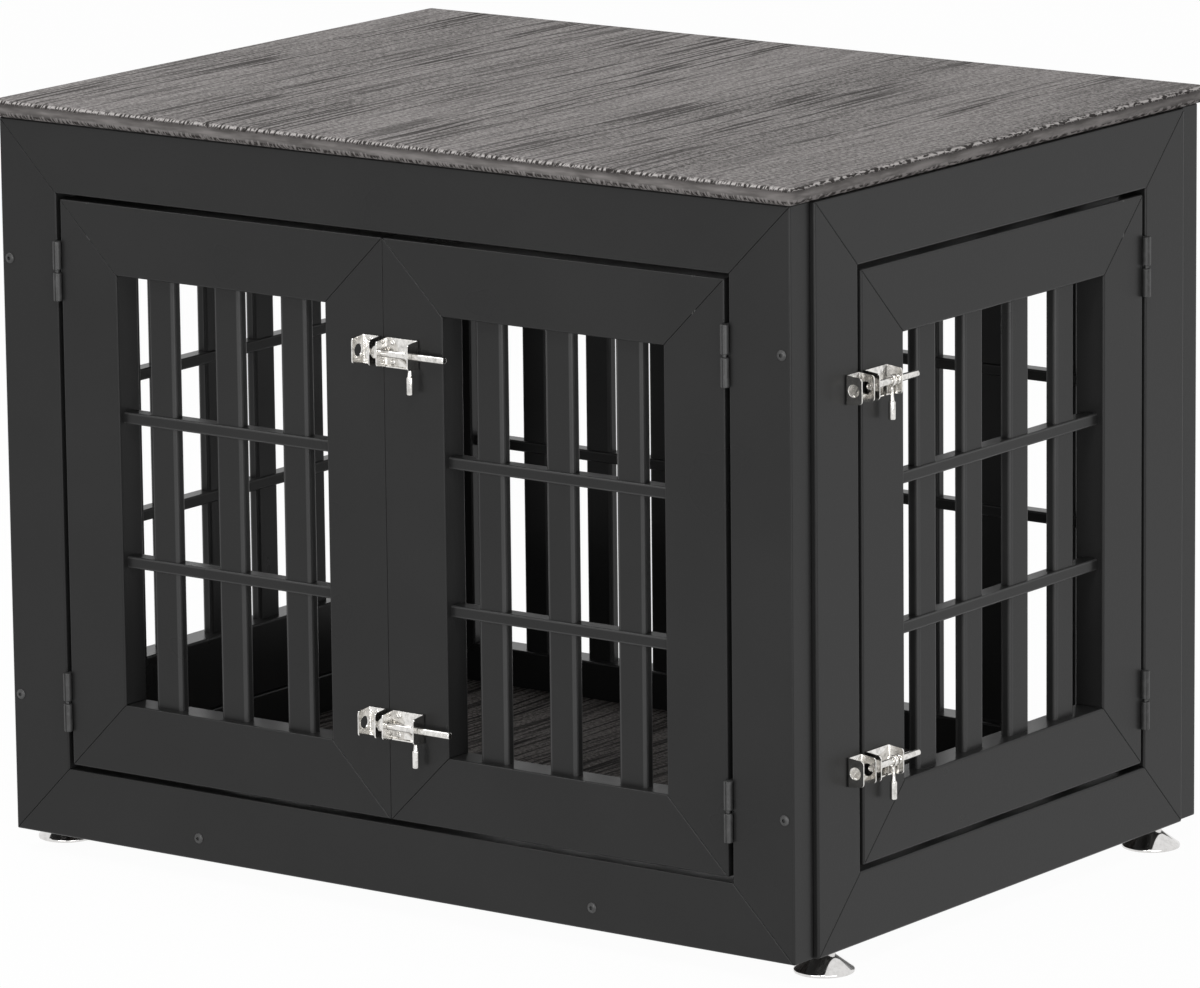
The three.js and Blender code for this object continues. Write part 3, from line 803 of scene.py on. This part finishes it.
def bolt_rod(tip, length):
    rounding = arc((BOLT_RADIUS - BOLT_EASE, length - BOLT_EASE), BOLT_EASE, 0, 90, 4)
    mirrored = [(r, length - h) for r, h in rounding[::-1]]
    profile = [(0, 0)] + mirrored + rounding + [(0, length)]
    bm = bmesh.new()
    place = Matrix.Translation((tip, -BOLT_AXIS, 0)) @ ALONG_X
    turned(bm, profile, STEPS["bolt"], place)
    return bm


def bolt_handle(x):
    """A collar round the bolt, and a turned grip on a thin neck."""
    bm = bmesh.new()
    grip = GRIP_END + GRIP_SHOULDER + GRIP_NECK
    turned(bm, in_metres(COLLAR), STEPS["collar"], ALONG_X)
    turned(bm, in_metres(grip), STEPS["grip"], Matrix.Identity(4))
    bm.transform(Matrix.Translation((x, -BOLT_AXIS, 0)))
    return bm


def latch(name, on_side, body, keeper_body):
    """One barrel bolt: two folded brackets with their screws, the bolt and its handle."""
    low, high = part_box(f"{name}_latch_body")
    middle = (low.z + high.z) / 2
    if on_side:
        origin = Vector((low.x - FIT, low.y - BODY_SPAN[0], middle))
    else:
        origin = Vector((low.x - BODY_SPAN[0], high.y + FIT, middle))
    turn = Matrix.Translation(origin) @ Matrix.Rotation(math.pi / 2 if on_side else 0, 4, "Z")
    along = 1 if on_side else 0
    bolt_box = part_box(f"{name}_latch_bolt")
    handle_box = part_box(f"{name}_latch_handle")
    tip = bolt_box[0][along] - origin[along]
    length = bolt_box[1][along] - bolt_box[0][along]
    handle_place = (handle_box[0][along] + handle_box[1][along]) / 2 - origin[along]

    def place(part, bm, ride_on, edge=0):
        bm.transform(turn)
        piece = add_piece(f"{name}_{part}", bm, NICKEL, ride_on)
        if edge:
            round_edges(piece, edge)
        return piece

    bracket = folded_bracket(BODY_SPAN, BODY_HOLE)
    bottom = -BRACKET["height"] / 2
    lip_start = (BODY_SPAN[0] + BEND, -LIP, bottom)
    add_box(bracket, lip_start, (BODY_SPAN[1] - BEND, -FIT - SHEET, bottom + SHEET))
    keeper = folded_bracket(KEEPER_SPAN, KEEPER_HOLE)
    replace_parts(place("body", bracket, body, SHEET_EDGE), f"{name}_latch_body")
    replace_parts(place("keeper", keeper, keeper_body, SHEET_EDGE), f"{name}_latch_keeper")
    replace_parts(place("bolt", bolt_rod(tip, length), f"{name}_bolt"), f"{name}_latch_bolt")
    grip = place("handle", bolt_handle(handle_place), f"{name}_handle")
    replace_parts(grip, f"{name}_latch_handle")
    screws = {
        "body_screws": (BODY_SPAN[0] + SCREW["inset"], body),
        "keeper_screws": (sum(KEEPER_SPAN) / 2, keeper_body),
    }
    for part, (x, ride_on) in screws.items():
        heads = bmesh.new()
        for z in (-SCREW["rise"], SCREW["rise"]):
            add_screw(heads, x, z)
        place(part, heads, ride_on)


def latches():
    for level in ("upper", "lower"):
        latch(f"front_{level}", False, "right_door", "left_door")
        latch(f"side_{level}", True, "side_door", "cabinet")


# ---------------------------------------------------------------- studio
def set_camera():
    azimuth, elevation, roll = (math.radians(CAMERA[k]) for k in ("azimuth", "elevation", "roll"))
    back = Vector((
        math.sin(azimuth) * math.cos(elevation),
        -math.cos(azimuth) * math.cos(elevation),
        math.sin(elevation),
    ))
    level = Vector((math.cos(azimuth), math.sin(azimuth), 0))
    upright = back.cross(level)
    right = level * math.cos(roll) + upright * math.sin(roll)
    up = upright * math.cos(roll) - level * math.sin(roll)
    data = bpy.data.cameras.new("camera")
    data.sensor_fit = "HORIZONTAL"
    data.sensor_width = CAMERA["sensor"]
    data.lens = CAMERA["lens"]
    data.clip_end = CAMERA["far"]
    camera = bpy.data.objects.new("camera", data)
    turn = Matrix((right, up, back)).transposed().to_4x4()
    camera.matrix_world = Matrix.Translation(CAMERA["place"]) @ turn
    bpy.context.scene.collection.objects.link(camera)
    bpy.context.scene.camera = camera


def area_light(name, place, aim, size, power):
    data = bpy.data.lights.new(name, "AREA")
    data.shape = "RECTANGLE"
    data.size, data.size_y = size
    data.energy = power
    light = bpy.data.objects.new(name, data)
    light.location = place
    light.rotation_euler = (Vector(aim) - Vector(place)).to_track_quat("-Z", "Y").to_euler()
    bpy.context.scene.collection.objects.link(light)


def seen_or_mirrored(tree):
    """1 for what the camera sees, itself or in metal, and 0 for the light that a surface gives."""
    path = tree.nodes.new("ShaderNodeLightPath")
    total = path.outputs["Is Camera Ray"]
    for ray in ("Is Glossy Ray", "Is Transmission Ray"):
        both = tree.nodes.new("ShaderNodeMath")
        both.operation = "MAXIMUM"
        tree.links.new(total, both.inputs[0])
        tree.links.new(path.outputs[ray], both.inputs[1])
        total = both.outputs[0]
    return total


def studio_floor():
    """A plain pale floor. It is seen nearly white, and keeps the object's shadow."""
    bm = bmesh.new()
    bmesh.ops.create_circle(bm, cap_ends=True, segments=96, radius=FLOOR_RADIUS)
    mesh = bpy.data.meshes.new("floor")
    bm.to_mesh(mesh)
    bm.free()
    made = Nodes("studio_floor", FLOOR_COLOR, 0.9)
    white = made.node("ShaderNodeEmission", {"Color": WHITE, "Strength": 1.0}).outputs[0]
    share = made.maths("MULTIPLY", seen_or_mirrored(made.tree), FLOOR_WHITE)
    mix = made.node("ShaderNodeMixShader", {0: share, 1: made.shader.outputs[0], 2: white})
    surface = made.tree.nodes["Material Output"].inputs["Surface"]
    made.tree.links.new(mix.outputs[0], surface)
    mesh.materials.append(made.material)
    floor = bpy.data.objects.new("floor", mesh)
    bpy.context.scene.collection.objects.link(floor)


def world_light():
    """White as it is seen, and a softer white for the light it gives."""
    world = bpy.data.worlds.new("studio")
    bpy.context.scene.world = world
    world.use_nodes = True
    tree = world.node_tree
    tree.nodes.clear()
    output = tree.nodes.new("ShaderNodeOutputWorld")
    mix = tree.nodes.new("ShaderNodeMixShader")
    for slot, strength in ((1, WORLD_GIVEN), (2, 1.0)):
        background = tree.nodes.new("ShaderNodeBackground")
        background.inputs["Color"].default_value = WHITE
        background.inputs["Strength"].default_value = strength
        tree.links.new(background.outputs[0], mix.inputs[slot])
    tree.links.new(seen_or_mirrored(tree), mix.inputs[0])
    tree.links.new(mix.outputs[0], output.inputs["Surface"])


def studio():
    studio_floor()
    world_light()
    for name, lamp in LAMPS.items():
        area_light(name, *lamp)
    bpy.context.scene.view_settings.view_transform = "Standard"


# ---------------------------------------------------------------- assembly
set_camera()
panels()
board("top_board_wood", "top_board", TOP_WOOD, "top_wood", TOP_EDGE)
board("floor_board_wood", "floor_board", FLOOR_WOOD, "floor_wood", FLOOR_EDGE)
for place in ("front_left", "front_right", "back_left", "back_right"):
    foot(f"{place}_foot")
frame_bolts()
for node in [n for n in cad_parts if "_hinge_" in n]:
    hinge_leaf(node)
latches()
studio()
